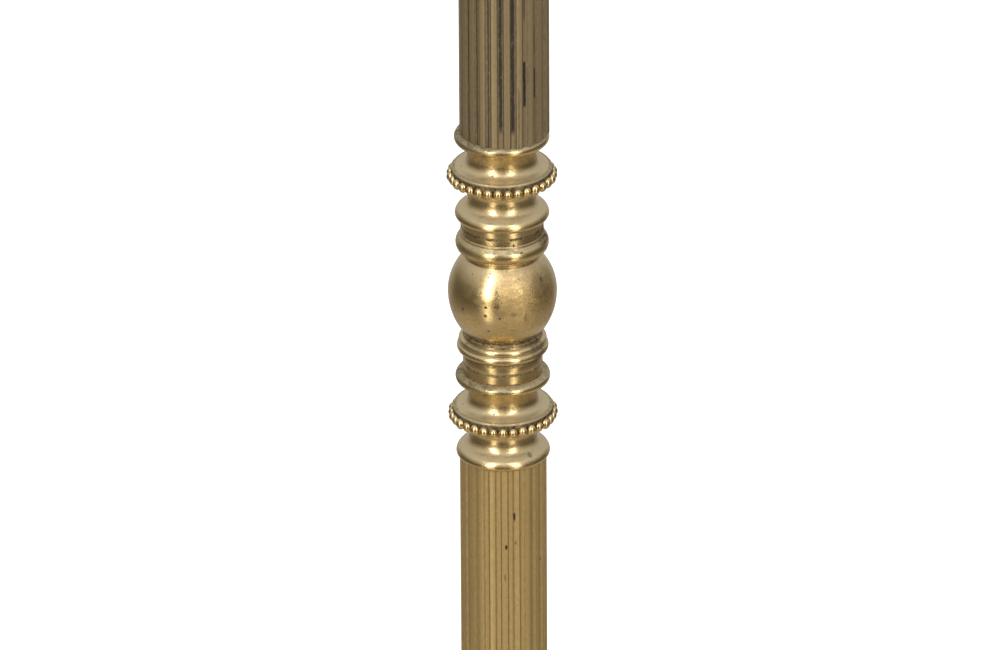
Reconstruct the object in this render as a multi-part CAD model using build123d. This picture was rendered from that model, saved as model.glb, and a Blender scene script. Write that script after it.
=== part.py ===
"""Floor-standing brass bible stand: round weighted base, fluted column with a ball knop,
telescopic mast and a swivelling, tilting pierced book desk.

Millimetres, +Z up, origin on the floor under the column.  The reader stands on the -Y side.
"""
from build123d import *
import math
import os

# ---- driving heights ----
FOOT_HEIGHT = 31.0
BOSS_TOP = 108.0          # top of the base dish, where the column starts
KNOP_Z = 600.0            # middle of the ball in the knop
UPPER_TUBE_TOP = 1000.0
MAST_TOP = 1078.0
PIVOT_Z = 1118.0          # axis that the desk tilts about

# ---- base ----
FEET = 3
FOOT_CIRCLE = 130.0
FOOT_BALL = 16.0
SCREW_R = 3.0
DISH_R = 163.0
DISH_WALL = 3.0
RIM_BEADS = 120
RIM_BEAD_R = 3.6
RIM_STRIP = 1.6
BALLAST_R = 152.0
BALLAST_TOP = 66.0

# ---- couplings: heights measured from the ring of beads ----
COUPLING_TOP = 22.9
COUPLING_BOTTOM = -23.5
BEADS = 32
BEAD_R = 2.2
BEAD_CIRCLE = 25.45
PLUG_R = 17.3             # plug that enters the next piece, above and below
PLUG_LENGTH = 8.0
SOCKET_R = 17.6
COUPLING_BORE = 12.5

# ---- fluted tubes ----
FLUTES = 22
LOWER_TUBE_R = 21.85
UPPER_TUBE_R = 22.4
TUBE_BORE = 19.0
FLUTE_DEPTH = 0.9
FLUTE_HALF_TOP = 4.25     # degrees, half the groove at its mouth
FLUTE_HALF_FLOOR = 3.5    # degrees, half the groove at its floor
LOWER_FLUTE_TURN = 9.57   # degrees from the front of the first groove, to the right
UPPER_FLUTE_TURN = 11.6
UPPER_SHIFT = 1.4         # the upper tube stands to the right of the knop's axis

# ---- knop: heights measured from the middle of the ball ----
UPPER_BEADS_Z = 64.5
LOWER_BEADS_Z = -67.4
UPPER_BEAD_TURN = -4.4    # degrees; the upper casting is turned a little to the left
KNOP_TOP = 36.4
KNOP_BOTTOM = -39.2
BALL_R = 27.3
BALL_DROP = 31.0          # the lower half of the ball is a little longer than it is wide
BALL_NECK_R = 19.0
BALL_FOOT_R = 19.3
UPPER_FERRULE_R = 20.75
LOWER_FERRULE_R = 20.0

# ---- tie rod ----
ROD_R = 5.0
NUT_ACROSS_FLATS = 17.0
NUT_HEIGHT = 8.0
WASHER_R = 16.0
WASHER_THICK = 2.0
ROD_BOTTOM = 22.0

# ---- mast and its clamp ----
MAST_R = 11.0
MAST_BORE = 8.5
MAST_BOTTOM = 716.0
SHOE_HEIGHT = 20.0
GUIDE_GAP = 0.3
FIT = 0.06
COLLAR_R = 19.5
COLLAR_HEIGHT = 26.0
CLAMP_SCREW_R = 3.5
CLAMP_SCREW_ABOVE = 18.0  # above the foot of the collar
KNOB_R = 13.0
KNOB_THICK = 9.0
KNOB_LOBES = 12

# ---- head and tilt pivot ----
STEM_LENGTH = 60.0
HEAD_FLANGE_R = 16.0
EAR_INNER = 14.0
EAR_THICK = 6.0
EAR_R = 12.0
PIN_R = 4.0
DESK_TILT = 32.0          # degrees from level at rest

# ---- desk, drawn level with the tilt axis as its origin ----
DESK_WIDTH = 420.0
DESK_DEPTH = 310.0
DESK_UNDER = 22.0         # underside of the plate above the tilt axis
PLATE_THICK = 3.0
BORDER_WIDTH = 16.0
BORDER_RISE = 1.5
BORDER_CORNER = 14.0
FOIL_COLUMNS = 7
FOIL_ROWS = 5
FOIL_LOBE_R = 8.5
FOIL_OFFSET = 8.0
STUD_HOLE_R = 3.2
PALM_WIDTH = 130.0        # the bracket's plate under the desk
PALM_DEPTH = 64.0
PALM_THICK = 5.0
SHELF_DEPTH = 40.0
SHELF_THICK = 3.0
LIP_HEIGHT = 15.0
LIP_THICK = 3.0
SHELF_LENGTH = 392.0
DESK_SCREW_R = 2.5


class Outline:
    """Half of a turned section, drawn as (radius, height) points in the XZ plane."""

    def __init__(self, radius, height):
        self.first = Vector(radius, 0, height)
        self.last = self.first
        self.edges = []

    def line(self, radius, height):
        """Go straight to a point."""
        end = Vector(radius, 0, height)
        self.edges.append(Line(self.last, end))
        self.last = end
        return self

    def bow(self, mid, end):
        """Go along a round stretch through mid to end."""
        middle, stop = Vector(mid[0], 0, mid[1]), Vector(end[0], 0, end[1])
        self.edges.append(ThreePointArc(self.last, middle, stop))
        self.last = stop
        return self

    def dome(self, rise):
        """Close over the axis with a spherical cap of this rise."""
        ball = (self.last.X**2 + rise**2) / (2 * rise)
        half = math.asin(self.last.X / ball) / 2
        top = self.last.Z + rise
        return self.bow((ball * math.sin(half), top - ball + ball * math.cos(half)), (0, top))

    def turned(self):
        """Close the outline and turn it about the vertical axis."""
        self.edges.append(Line(self.last, self.first))
        return revolve(make_face(self.edges), Axis.Z)


def post(radius, bottom, top):
    """A plain upright cylinder between two heights."""
    low = (Align.CENTER, Align.CENTER, Align.MIN)
    return Pos(0, 0, bottom) * Cylinder(radius, top - bottom, align=low)


def bar(radius, start, end):
    """A plain cylinder along X between two places."""
    low = (Align.CENTER, Align.CENTER, Align.MIN)
    return Pos(start, 0, 0) * Rot(0, 90, 0) * Cylinder(radius, end - start, align=low)


def bead_ring(radius, count, circle):
    """Round beads spaced evenly on a circle, the first one facing the reader."""
    turns = (math.radians(-90 + 360 * k / count) for k in range(count))
    return [Pos(circle * math.cos(a), circle * math.sin(a), 0) * Sphere(radius) for a in turns]


# ---- base ----
def foot_places():
    """Places of the feet, the first at the back."""
    return [Rot(0, 0, 90 + 360 / FEET * k) * Pos(FOOT_CIRCLE, 0, 0) for k in range(FEET)]


def foot():
    """Ball foot with a flange above and a flat pad below, drilled for its screw."""
    pad = 10.0
    middle = math.sqrt(FOOT_BALL**2 - pad**2)
    neck = 9.5
    shoulder = middle + math.sqrt(FOOT_BALL**2 - neck**2)
    body = (Outline(0, 0).line(pad, 0).bow((FOOT_BALL, middle), (neck, shoulder))
            .line(neck, shoulder + 0.6).bow((neck + 2.2, shoulder + 1.1), (neck + 3.2, shoulder + 1.6))
            .line(20, shoulder + 1.6).line(20, FOOT_HEIGHT).line(0, FOOT_HEIGHT).turned())
    return body - post(SCREW_R + 0.3, -1, FOOT_HEIGHT + 1) - post(6.5, -1, 9)


def foot_screw():
    """Pan-head screw that holds a foot to the iron ballast."""
    head = Outline(0, 5.5).line(5.2, 5.5).line(5.8, 6.4).line(5.8, 9).line(0, 9).turned()
    return head + post(SCREW_R, 9, FOOT_HEIGHT + 14)


def base_dish():
    """Spun dish: upright rim, rounded step, hollow sweep up to a collar and a flat boss."""
    outer = (Outline(SOCKET_R, BOSS_TOP).line(25, BOSS_TOP).bow((27.4, 105.6), (25.8, 102.8))
             .bow((28.5, 96), (36, 93)).line(38, 93).bow((41.2, 89.5), (38, 86))
             .bow((66, 72), (96, 66.5)).line(98, 64).bow((101.8, 60.6), (98, 57.2))
             .bow((121, 52.5), (146, 50)).bow((156.5, 47.4), (DISH_R, 40))
             .line(DISH_R, FOOT_HEIGHT).line(DISH_R - DISH_WALL, FOOT_HEIGHT)
             .line(DISH_R - DISH_WALL, 39).bow((154, 44.4), (145, 46.9)).line(95, 54)
             .line(94, 62.5).bow((64, 68), (36, 81)).line(35, 88.5).bow((26, 92), (22, 101))
             .line(22, BOSS_TOP - DISH_WALL).line(SOCKET_R, BOSS_TOP - DISH_WALL))
    return outer.turned()


def base_bead_ring():
    """Beaded wire round the rim of the dish: a flat strip with half-sunk beads."""
    inner = DISH_R + 0.02
    outer = inner + RIM_STRIP
    strip = (Outline(inner, -RIM_BEAD_R).line(outer, -RIM_BEAD_R).line(outer, RIM_BEAD_R)
             .line(inner, RIM_BEAD_R).turned())
    low = (Align.MIN, Align.CENTER, Align.CENTER)
    slab = Pos(outer - RIM_STRIP / 2, 0, 0) * Box(10, 10, 10, align=low)
    bead = Pos(outer, 0, 0) * Sphere(RIM_BEAD_R * 0.96) & slab
    beads = [Rot(0, 0, 360 / RIM_BEADS * k) * bead for k in range(RIM_BEADS)]
    return Pos(0, 0, FOOT_HEIGHT + 5.0) * (strip + beads)


def base_ballast():
    """Cast-iron weight in the dish; the feet and the tie rod bear on it."""
    bore = ROD_R + 0.5
    block = (Outline(bore, FOOT_HEIGHT).line(BALLAST_R, FOOT_HEIGHT).line(BALLAST_R, 40)
             .line(BALLAST_R - 4, 43).line(88, 48).line(86, 56)
             .line(40, BALLAST_TOP).line(bore, BALLAST_TOP).turned())
    for turn in foot_places():
        block -= turn * post(SCREW_R + 0.1, 0, FOOT_HEIGHT + 14.5)
    return block


# ---- column ----
def coupling():
    """Beaded coupling: ring, hollow neck, beaded disc, neck and bell, with a plug at each end."""
    plug_top = COUPLING_TOP + PLUG_LENGTH
    plug_bottom = COUPLING_BOTTOM - PLUG_LENGTH
    body = Outline(COUPLING_BORE, plug_top).line(PLUG_R, plug_top).line(PLUG_R, COUPLING_TOP)
    body.line(21.7, COUPLING_TOP).bow((23.75, 20.6), (21.7, 17.5)).line(18.0, 17.2)
    body.bow((16.4, 14.2), (16.0, 10.9)).bow((17.2, 8.7), (19.6, 7.3)).line(24.9, 4.3)
    body.line(25.25, 3.8).line(24.8, 3.1).line(25.1, 2.6).line(25.1, -2.6).line(24.4, -3.2)
    body.bow((17.2, -5.2), (15.2, -10.5)).line(15.15, -12.2).bow((16.1, -14.5), (18.2, -15.9))
    body.line(22.5, -18.1).bow((23.35, -18.9), (23.6, -20.2)).line(22.8, COUPLING_BOTTOM)
    body.line(PLUG_R, COUPLING_BOTTOM).line(PLUG_R, plug_bottom).line(COUPLING_BORE, plug_bottom)
    return body.turned() + bead_ring(BEAD_R, BEADS, BEAD_CIRCLE)


def fluted_tube(radius, bottom, top, first_groove):
    """Tube with flat-bottomed flutes; first_groove is in degrees to the right of the front."""
    floor_r = radius - FLUTE_DEPTH
    section = Circle(radius) - Circle(TUBE_BORE)
    for k in range(FLUTES):
        middle = -90 + first_groove + 360 / FLUTES * k
        corners = [(radius + 0.5, -FLUTE_HALF_TOP), (floor_r, -FLUTE_HALF_FLOOR),
                   (floor_r, FLUTE_HALF_FLOOR), (radius + 0.5, FLUTE_HALF_TOP)]
        points = [(r * math.cos(math.radians(middle + a)), r * math.sin(math.radians(middle + a)))
                  for r, a in corners]
        section -= make_face(Polyline(*points, close=True))
    return Pos(0, 0, bottom) * extrude(section, top - bottom)


def ball_knop():
    """Hollow ball with a ring above, two rings below and a short neck at each end."""
    neck_z = math.sqrt(BALL_R**2 - BALL_NECK_R**2)
    high = (BALL_R * math.cos(math.pi / 8), BALL_R * math.sin(math.pi / 8))
    low = (BALL_R * math.cos(math.pi / 8), -BALL_DROP * math.sin(math.pi / 8))
    foot_z = -BALL_DROP * math.sqrt(1 - (BALL_FOOT_R / BALL_R) ** 2)
    body = Outline(SOCKET_R, KNOP_TOP).line(UPPER_FERRULE_R, KNOP_TOP).line(UPPER_FERRULE_R, 32.6)
    body.line(21.3, 32.1).line(21.4, 31.2).line(21.9, 30.4).bow((23.3, 27.2), (21.7, 23.6))
    body.line(BALL_NECK_R, 21.6).line(BALL_NECK_R, neck_z).bow(high, (BALL_R, 0))
    body.bow(low, (BALL_FOOT_R, foot_z)).line(BALL_FOOT_R, -22.4).line(20.0, -22.8).line(20.0, -24.4)
    body.bow((22.1, -26.4), (21.6, -27.9)).line(21.8, -28.2).bow((23.0, -30.2), (21.0, -32.6))
    body.line(19.7, -33.6).line(LOWER_FERRULE_R, -34.4).line(LOWER_FERRULE_R, KNOP_BOTTOM)
    body.line(SOCKET_R, KNOP_BOTTOM).line(SOCKET_R, -35.0).line(16.0, -35.0).line(16.0, -21.0)
    body.bow((23.6, 0), (15.5, 18.0)).line(15.5, 32.0).line(SOCKET_R, 32.0)
    return body.turned()


def ferrule(radius, bottom, top):
    """Plain ring between the knop and a coupling."""
    return post(radius, bottom, top) - post(SOCKET_R, bottom - 1, top + 1)


def hex_nut(bottom):
    """Hexagon nut with turned corners on the tie rod."""
    low = (Align.CENTER, Align.CENTER)
    blank = extrude(RegularPolygon(NUT_ACROSS_FLATS / 2, 6, major_radius=False, align=low), NUT_HEIGHT)
    corner = NUT_ACROSS_FLATS / 2 / math.cos(math.pi / 6)
    turned = (Outline(0, 0).line(corner - 1, 0).line(corner, 0.8).line(corner, NUT_HEIGHT - 0.8)
              .line(corner - 1, NUT_HEIGHT).line(0, NUT_HEIGHT).turned())
    return Pos(0, 0, bottom) * ((blank & turned) - post(ROD_R, -1, NUT_HEIGHT + 1))


def washer(bottom):
    """Plain washer on the tie rod."""
    return post(WASHER_R, bottom, bottom + WASHER_THICK) - post(ROD_R + 0.4, bottom - 1, bottom + 5)


# ---- mast and clamp ----
def mast():
    """Telescopic tube that carries the head, with a rounded upper edge."""
    return (Outline(MAST_BORE, MAST_BOTTOM).line(MAST_R, MAST_BOTTOM).line(MAST_R, MAST_TOP - 1)
            .bow((MAST_R - 0.3, MAST_TOP - 0.3), (MAST_R - 1, MAST_TOP))
            .line(MAST_BORE, MAST_TOP).turned())


def mast_shoe():
    """Ring on the foot of the mast that runs in the upper tube."""
    outer = TUBE_BORE - GUIDE_GAP
    return (Outline(MAST_R, MAST_BOTTOM).line(outer - 1, MAST_BOTTOM).line(outer, MAST_BOTTOM + 1)
            .line(outer, MAST_BOTTOM + SHOE_HEIGHT - 1).line(outer - 1, MAST_BOTTOM + SHOE_HEIGHT)
            .line(MAST_R, MAST_BOTTOM + SHOE_HEIGHT).turned())


def mast_bush(bottom, top):
    """Bushing in the top coupling that guides the mast."""
    return post(COUPLING_BORE, bottom, top) - post(MAST_R + FIT, bottom - 1, top + 1)


def clamp_collar(bottom):
    """Turned collar over the top coupling, drilled for the clamp screw."""
    top = bottom + COLLAR_HEIGHT
    bore = MAST_R + GUIDE_GAP
    waist = COLLAR_R - 2.4
    socket_top = bottom + PLUG_LENGTH + 0.2
    body = (Outline(SOCKET_R, bottom).line(COLLAR_R, bottom).line(COLLAR_R, bottom + 3)
            .bow((COLLAR_R - 2, bottom + 5.5), (waist, bottom + 9)).line(waist, top - 3)
            .bow((COLLAR_R - 3.2, top - 0.9), (COLLAR_R - 5.4, top)).line(bore, top)
            .line(bore, socket_top).line(SOCKET_R, socket_top))
    axis = Pos(0, 0, bottom + CLAMP_SCREW_ABOVE)
    hole = axis * bar(CLAMP_SCREW_R + FIT, 0, COLLAR_R + 5)
    boss = axis * bar(7.0, MAST_R + 2, COLLAR_R + 2.5)
    return body.turned() + boss - hole - post(bore, bottom, top + 1)


def clamp_pad(axis_z):
    """Loose brass pad between the screw and the mast."""
    return Pos(0, 0, axis_z) * bar(CLAMP_SCREW_R, MAST_R + 0.1, MAST_R + 2.3)


def knob(start):
    """Milled round knob along X with a domed outer face and a narrow shank collar."""
    collar = bar(6.0, start, start + 3.5)
    rim = bar(KNOB_R, start + 3.5, start + 3.5 + KNOB_THICK)
    rim = chamfer(rim.edges().filter_by(GeomType.CIRCLE), 1.2)
    for k in range(KNOB_LOBES):
        turn = 360 / KNOB_LOBES * k
        rim -= Rot(turn, 0, 0) * Pos(0, KNOB_R + 1.2, 0) * bar(2.4, start, start + 20)
    dome = bar(8.0, start + 3.5 + KNOB_THICK, start + 5.3 + KNOB_THICK)
    dome = chamfer(dome.edges().filter_by(GeomType.CIRCLE).sort_by(Axis.X)[-1], 1.2)
    return collar + rim + dome


def clamp_screw(axis_z):
    """Screw with a milled knob that presses the pad against the mast."""
    shank = bar(CLAMP_SCREW_R, MAST_R + 2.3, COLLAR_R + 8.0)
    return Pos(0, 0, axis_z) * (shank + knob(COLLAR_R + 7.0))


# ---- head ----
def head_yoke():
    """Swivelling head: stem in the mast, turned flange and two ears for the tilt pin."""
    stem_r = MAST_BORE - FIT
    outer_x = EAR_INNER + EAR_THICK
    base_top = MAST_TOP + 14
    stem_foot = MAST_TOP - STEM_LENGTH
    flange = HEAD_FLANGE_R - 1.5
    body = (Outline(0, stem_foot).line(stem_r - 1, stem_foot)
            .line(stem_r, stem_foot + 1).line(stem_r, MAST_TOP).line(flange, MAST_TOP)
            .bow((HEAD_FLANGE_R, MAST_TOP + 2), (flange, MAST_TOP + 4))
            .bow((12.2, MAST_TOP + 6.5), (13.5, MAST_TOP + 9.5))
            .line(13.5, base_top).line(0, base_top).turned())
    low = (Align.CENTER, Align.CENTER, Align.MIN)
    bridge = Pos(0, 0, MAST_TOP + 9.5) * Box(2 * outer_x, 20, base_top - MAST_TOP - 9.5, align=low)
    bridge = fillet(bridge.edges().filter_by(Axis.Z), 4)
    ears = []
    for side in (-1, 1):
        start = EAR_INNER if side > 0 else -outer_x
        disc = Pos(0, 0, PIVOT_Z) * bar(EAR_R, start, start + EAR_THICK)
        web = Pos(start + EAR_THICK / 2, 0, base_top) * Box(EAR_THICK, 20, PIVOT_Z - base_top, align=low)
        ears.append(disc + web)
    hole = Pos(0, 0, PIVOT_Z) * bar(PIN_R, -40, 40)
    return body + bridge + ears - hole


def tilt_pin():
    """Pivot pin with a round head on the left and its threaded end on the right."""
    outer_x = EAR_INNER + EAR_THICK
    head = bar(7.5, -outer_x - 4, -outer_x)
    head = chamfer(head.edges().filter_by(GeomType.CIRCLE).sort_by(Axis.X)[0], 1.2)
    return Pos(0, 0, PIVOT_Z) * (head + bar(PIN_R, -outer_x, outer_x + 12))


def tilt_knob():
    """Milled knob on the tilt pin's thread."""
    start = EAR_INNER + EAR_THICK + 2.0
    return Pos(0, 0, PIVOT_Z) * (knob(start) - bar(PIN_R + FIT, start - 1, start + 10.5))


def tilt_washer():
    """Washer between the right ear and the knob."""
    start = EAR_INNER + EAR_THICK
    return Pos(0, 0, PIVOT_Z) * (bar(8.5, start, start + 1.6) - bar(PIN_R + 0.2, start - 1, start + 3))


# ---- desk ----
def on_desk(piece):
    """Lay a piece that was drawn level at the desk's tilt, on the pivot."""
    return Pos(0, 0, PIVOT_Z) * Rot(DESK_TILT, 0, 0) * piece


def screw_places():
    """Places of the four screws through the desk into its bracket."""
    x, y = PALM_WIDTH / 2 - 12, PALM_DEPTH / 2 - 11
    return [(side * x, end * y) for side in (-1, 1) for end in (-1, 1)]


def quatrefoil(x, y):
    """Four overlapping round holes about a point."""
    lobes = [Pos(x + FOIL_OFFSET * dx, y + FOIL_OFFSET * dy) * Circle(FOIL_LOBE_R)
             for dx, dy in ((1, 0), (-1, 0), (0, 1), (0, -1))]
    return lobes[0] + lobes[1:]


def desk_plate():
    """Pierced plate with a raised border, rounded corners and a solid middle for the bracket."""
    field = RectangleRounded(DESK_WIDTH, DESK_DEPTH, BORDER_CORNER)
    pitch_x = (DESK_WIDTH - 2 * BORDER_WIDTH) / FOIL_COLUMNS
    pitch_y = (DESK_DEPTH - 2 * BORDER_WIDTH) / FOIL_ROWS
    clear_x, clear_y = PALM_WIDTH / 2 + 14, PALM_DEPTH / 2 + 14
    pierced = field
    for i in range(FOIL_COLUMNS):
        for j in range(FOIL_ROWS):
            x = (i - (FOIL_COLUMNS - 1) / 2) * pitch_x
            y = (j - (FOIL_ROWS - 1) / 2) * pitch_y
            if abs(x) > clear_x or abs(y) > clear_y:
                pierced -= quatrefoil(x, y)
    for i in range(FOIL_COLUMNS - 1):
        for j in range(FOIL_ROWS - 1):
            x = (i - (FOIL_COLUMNS - 2) / 2) * pitch_x
            y = (j - (FOIL_ROWS - 2) / 2) * pitch_y
            if abs(x) > PALM_WIDTH / 2 + 4 or abs(y) > PALM_DEPTH / 2 + 4:
                pierced -= Pos(x, y) * Circle(STUD_HOLE_R)
    border = field - RectangleRounded(DESK_WIDTH - 2 * BORDER_WIDTH, DESK_DEPTH - 2 * BORDER_WIDTH, 5)
    plate = extrude(pierced, PLATE_THICK) + extrude(border, PLATE_THICK + BORDER_RISE)
    plate = Pos(0, 0, DESK_UNDER) * plate
    for x, y in screw_places():
        plate -= Pos(x, y, 0) * post(DESK_SCREW_R + 0.2, DESK_UNDER - 1, DESK_UNDER + 10)
    return on_desk(plate)


def desk_bracket():
    """Palm plate under the desk, two ribs and the lug that turns on the tilt pin."""
    palm_bottom = DESK_UNDER - PALM_THICK
    low = (Align.CENTER, Align.CENTER, Align.MIN)
    palm = Pos(0, 0, palm_bottom) * extrude(RectangleRounded(PALM_WIDTH, PALM_DEPTH, 10), PALM_THICK)
    half = EAR_INNER - 0.4
    web = Box(2 * half, 2 * EAR_R, palm_bottom + 1, align=low)
    body = palm + bar(EAR_R, -half, half) + web - bar(PIN_R + FIT, -30, 30)
    for x, y in screw_places():
        body -= Pos(x, y, 0) * post(DESK_SCREW_R, palm_bottom - 1, DESK_UNDER + 1)
    return on_desk(body)


def desk_screws():
    """Round-head screws that hold the plate on its bracket."""
    top = DESK_UNDER + PLATE_THICK
    screws = []
    for x, y in screw_places():
        head = Outline(0, top).line(5, top).line(5, top + 0.5).dome(2.2).turned()
        shank = post(DESK_SCREW_R, DESK_UNDER - PALM_THICK + 0.5, top)
        screws.append(on_desk(Pos(x, y, 0) * (head + shank)))
    return screws


def desk_shelf():
    """Shelf along the lower edge of the desk, square to the plate."""
    front = -DESK_DEPTH / 2
    box = Box(SHELF_LENGTH, SHELF_THICK, SHELF_DEPTH, align=(Align.CENTER, Align.MAX, Align.MIN))
    box = fillet(box.edges().filter_by(Axis.Y).sort_by(Axis.Z)[:2], 4)
    return on_desk(Pos(0, front, DESK_UNDER) * box - shelf_screw_holes())


def desk_lip():
    """Lip along the outer edge of the shelf that stops the book sliding off."""
    front = -DESK_DEPTH / 2 - SHELF_THICK
    low = DESK_UNDER + SHELF_DEPTH
    corner = (Align.CENTER, Align.MIN, Align.MIN)
    box = Box(SHELF_LENGTH, LIP_HEIGHT + SHELF_THICK, LIP_THICK, align=corner)
    box = fillet(box.edges().filter_by(Axis.Z).sort_by(Axis.Y)[-2:], 7)
    return on_desk(Pos(0, front, low) * box)


def shelf_screw_places():
    """Places along X of the screws through the shelf into the edge of the desk."""
    return [(i - 2) * SHELF_LENGTH / 5 for i in range(5)]


def shelf_screw_holes():
    """Clearance for the shelf's screws."""
    middle = DESK_UNDER + (PLATE_THICK + BORDER_RISE) / 2
    front = -DESK_DEPTH / 2
    low = (Align.CENTER, Align.CENTER, Align.MIN)
    hole = Rot(90, 0, 0) * Cylinder(1.3, 8, align=low)
    return [Pos(x, front + 1, middle) * hole for x in shelf_screw_places()]


def shelf_screws():
    """Small round-head screws under the shelf."""
    middle = DESK_UNDER + (PLATE_THICK + BORDER_RISE) / 2
    front = -DESK_DEPTH / 2 - SHELF_THICK
    low = (Align.CENTER, Align.CENTER, Align.MIN)
    screws = []
    for x in shelf_screw_places():
        head = Outline(0, 0).line(2.1, 0).line(2.1, 0.3).dome(1.0).turned()
        shank = Pos(0, 0, -SHELF_THICK) * Cylinder(1.1, SHELF_THICK, align=low)
        screws.append(on_desk(Pos(x, front, middle) * Rot(90, 0, 0) * (head + shank)))
    return screws


def save(name, shape):
    """Write one node."""
    export_step(shape, "parts/" + name + ".step")


def build_base():
    """Feet, dish, ballast and their screws."""
    for k, place in enumerate(foot_places()):
        save(f"foot_{k + 1}", place * foot())
    save("foot_screws", Compound(children=[place * foot_screw() for place in foot_places()]))
    save("base_dish", base_dish())
    save("base_bead_ring", base_bead_ring())
    save("base_ballast", base_ballast())


def build_column():
    """Tubes, couplings, knop and the tie rod that draws them together."""
    casting = coupling()
    base_z = BOSS_TOP - COUPLING_BOTTOM
    lower_z, upper_z = KNOP_Z + LOWER_BEADS_Z, KNOP_Z + UPPER_BEADS_Z
    top_z = UPPER_TUBE_TOP - COUPLING_BOTTOM
    save("base_coupling", Pos(0, 0, base_z) * casting)
    save("lower_coupling", Pos(0, 0, lower_z) * casting)
    save("upper_coupling", Pos(0, 0, upper_z) * Rot(0, 0, UPPER_BEAD_TURN) * casting)
    save("top_coupling", Pos(UPPER_SHIFT, 0, top_z) * casting)
    save("lower_tube", fluted_tube(LOWER_TUBE_R, base_z + COUPLING_TOP, lower_z + COUPLING_BOTTOM,
                                   LOWER_FLUTE_TURN))
    save("upper_tube", Pos(UPPER_SHIFT, 0, 0) * fluted_tube(UPPER_TUBE_R, upper_z + COUPLING_TOP,
                                                            UPPER_TUBE_TOP, UPPER_FLUTE_TURN))
    save("ball_knop", Pos(0, 0, KNOP_Z) * ball_knop())
    save("knop_ferrule_upper", ferrule(UPPER_FERRULE_R, KNOP_Z + KNOP_TOP, upper_z + COUPLING_BOTTOM))
    save("knop_ferrule_lower", ferrule(LOWER_FERRULE_R, lower_z + COUPLING_TOP, KNOP_Z + KNOP_BOTTOM))
    seat = upper_z + COUPLING_TOP + PLUG_LENGTH
    low_seat = FOOT_HEIGHT - WASHER_THICK
    save("tie_rod", post(ROD_R, ROD_BOTTOM - 3, seat + WASHER_THICK + NUT_HEIGHT + 3))
    save("tie_washers", Compound(children=[washer(low_seat), washer(seat)]))
    save("tie_nuts", Compound(children=[hex_nut(low_seat - NUT_HEIGHT), hex_nut(seat + WASHER_THICK)]))


def build_mast():
    """Clamp, mast, head and tilt pivot, all on the upper tube's axis."""
    over = Pos(UPPER_SHIFT, 0, 0)
    top_z = UPPER_TUBE_TOP - COUPLING_BOTTOM
    ledge = top_z + COUPLING_TOP
    screw_z = ledge + CLAMP_SCREW_ABOVE
    bush = mast_bush(UPPER_TUBE_TOP - PLUG_LENGTH, ledge + PLUG_LENGTH)
    parts = {"mast_bush": bush, "clamp_collar": clamp_collar(ledge), "clamp_pad": clamp_pad(screw_z),
             "clamp_screw": clamp_screw(screw_z), "mast": mast(), "mast_shoe": mast_shoe(),
             "head_yoke": head_yoke(), "tilt_pin": tilt_pin(), "tilt_washer": tilt_washer(),
             "tilt_knob": tilt_knob()}
    for name, shape in parts.items():
        save(name, over * shape)


def build_desk():
    """Desk plate, bracket, shelf, lip and their screws."""
    over = Pos(UPPER_SHIFT, 0, 0)
    save("desk_plate", over * desk_plate())
    save("desk_bracket", over * desk_bracket())
    save("desk_shelf", over * desk_shelf())
    save("desk_lip", over * desk_lip())
    save("desk_screws", Compound(children=[over * s for s in desk_screws()]))
    save("shelf_screws", Compound(children=[over * s for s in shelf_screws()]))


os.makedirs("parts", exist_ok=True)
build_base()
build_column()
build_mast()
build_desk()
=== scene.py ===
"""Looks of a floor-standing brass bible stand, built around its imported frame.

The turned, beaded and fluted brasswork of the base, column and mast is modelled here as smooth
spun pieces, and the flat work of the head and the book desk keeps its own shape and is dressed.
Lengths are in metres, +Z is up, and the reader stands on the -Y side.
"""
import logging
import math
import random
from dataclasses import dataclass, field
from enum import Enum

import bpy
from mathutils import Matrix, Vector


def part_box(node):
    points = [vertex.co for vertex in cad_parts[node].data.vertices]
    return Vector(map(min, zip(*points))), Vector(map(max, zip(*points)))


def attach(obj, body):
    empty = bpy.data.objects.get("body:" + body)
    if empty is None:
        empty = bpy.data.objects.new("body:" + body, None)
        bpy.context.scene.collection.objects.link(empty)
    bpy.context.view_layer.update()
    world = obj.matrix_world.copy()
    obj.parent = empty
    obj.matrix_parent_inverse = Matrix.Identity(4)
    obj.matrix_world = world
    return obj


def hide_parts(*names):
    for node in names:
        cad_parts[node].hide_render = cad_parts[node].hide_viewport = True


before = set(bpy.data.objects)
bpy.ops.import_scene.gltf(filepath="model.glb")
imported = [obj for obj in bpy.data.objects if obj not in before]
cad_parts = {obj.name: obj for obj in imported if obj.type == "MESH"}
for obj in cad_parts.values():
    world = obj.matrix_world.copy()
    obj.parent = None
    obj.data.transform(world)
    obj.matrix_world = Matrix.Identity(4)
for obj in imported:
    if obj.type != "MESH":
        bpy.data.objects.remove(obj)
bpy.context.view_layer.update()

MM = 0.001
KNOP_FOOT = -39.2
LOG = logging.getLogger("bible_stand")

Point = tuple[float, float]
Colour = tuple[float, float, float]


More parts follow.
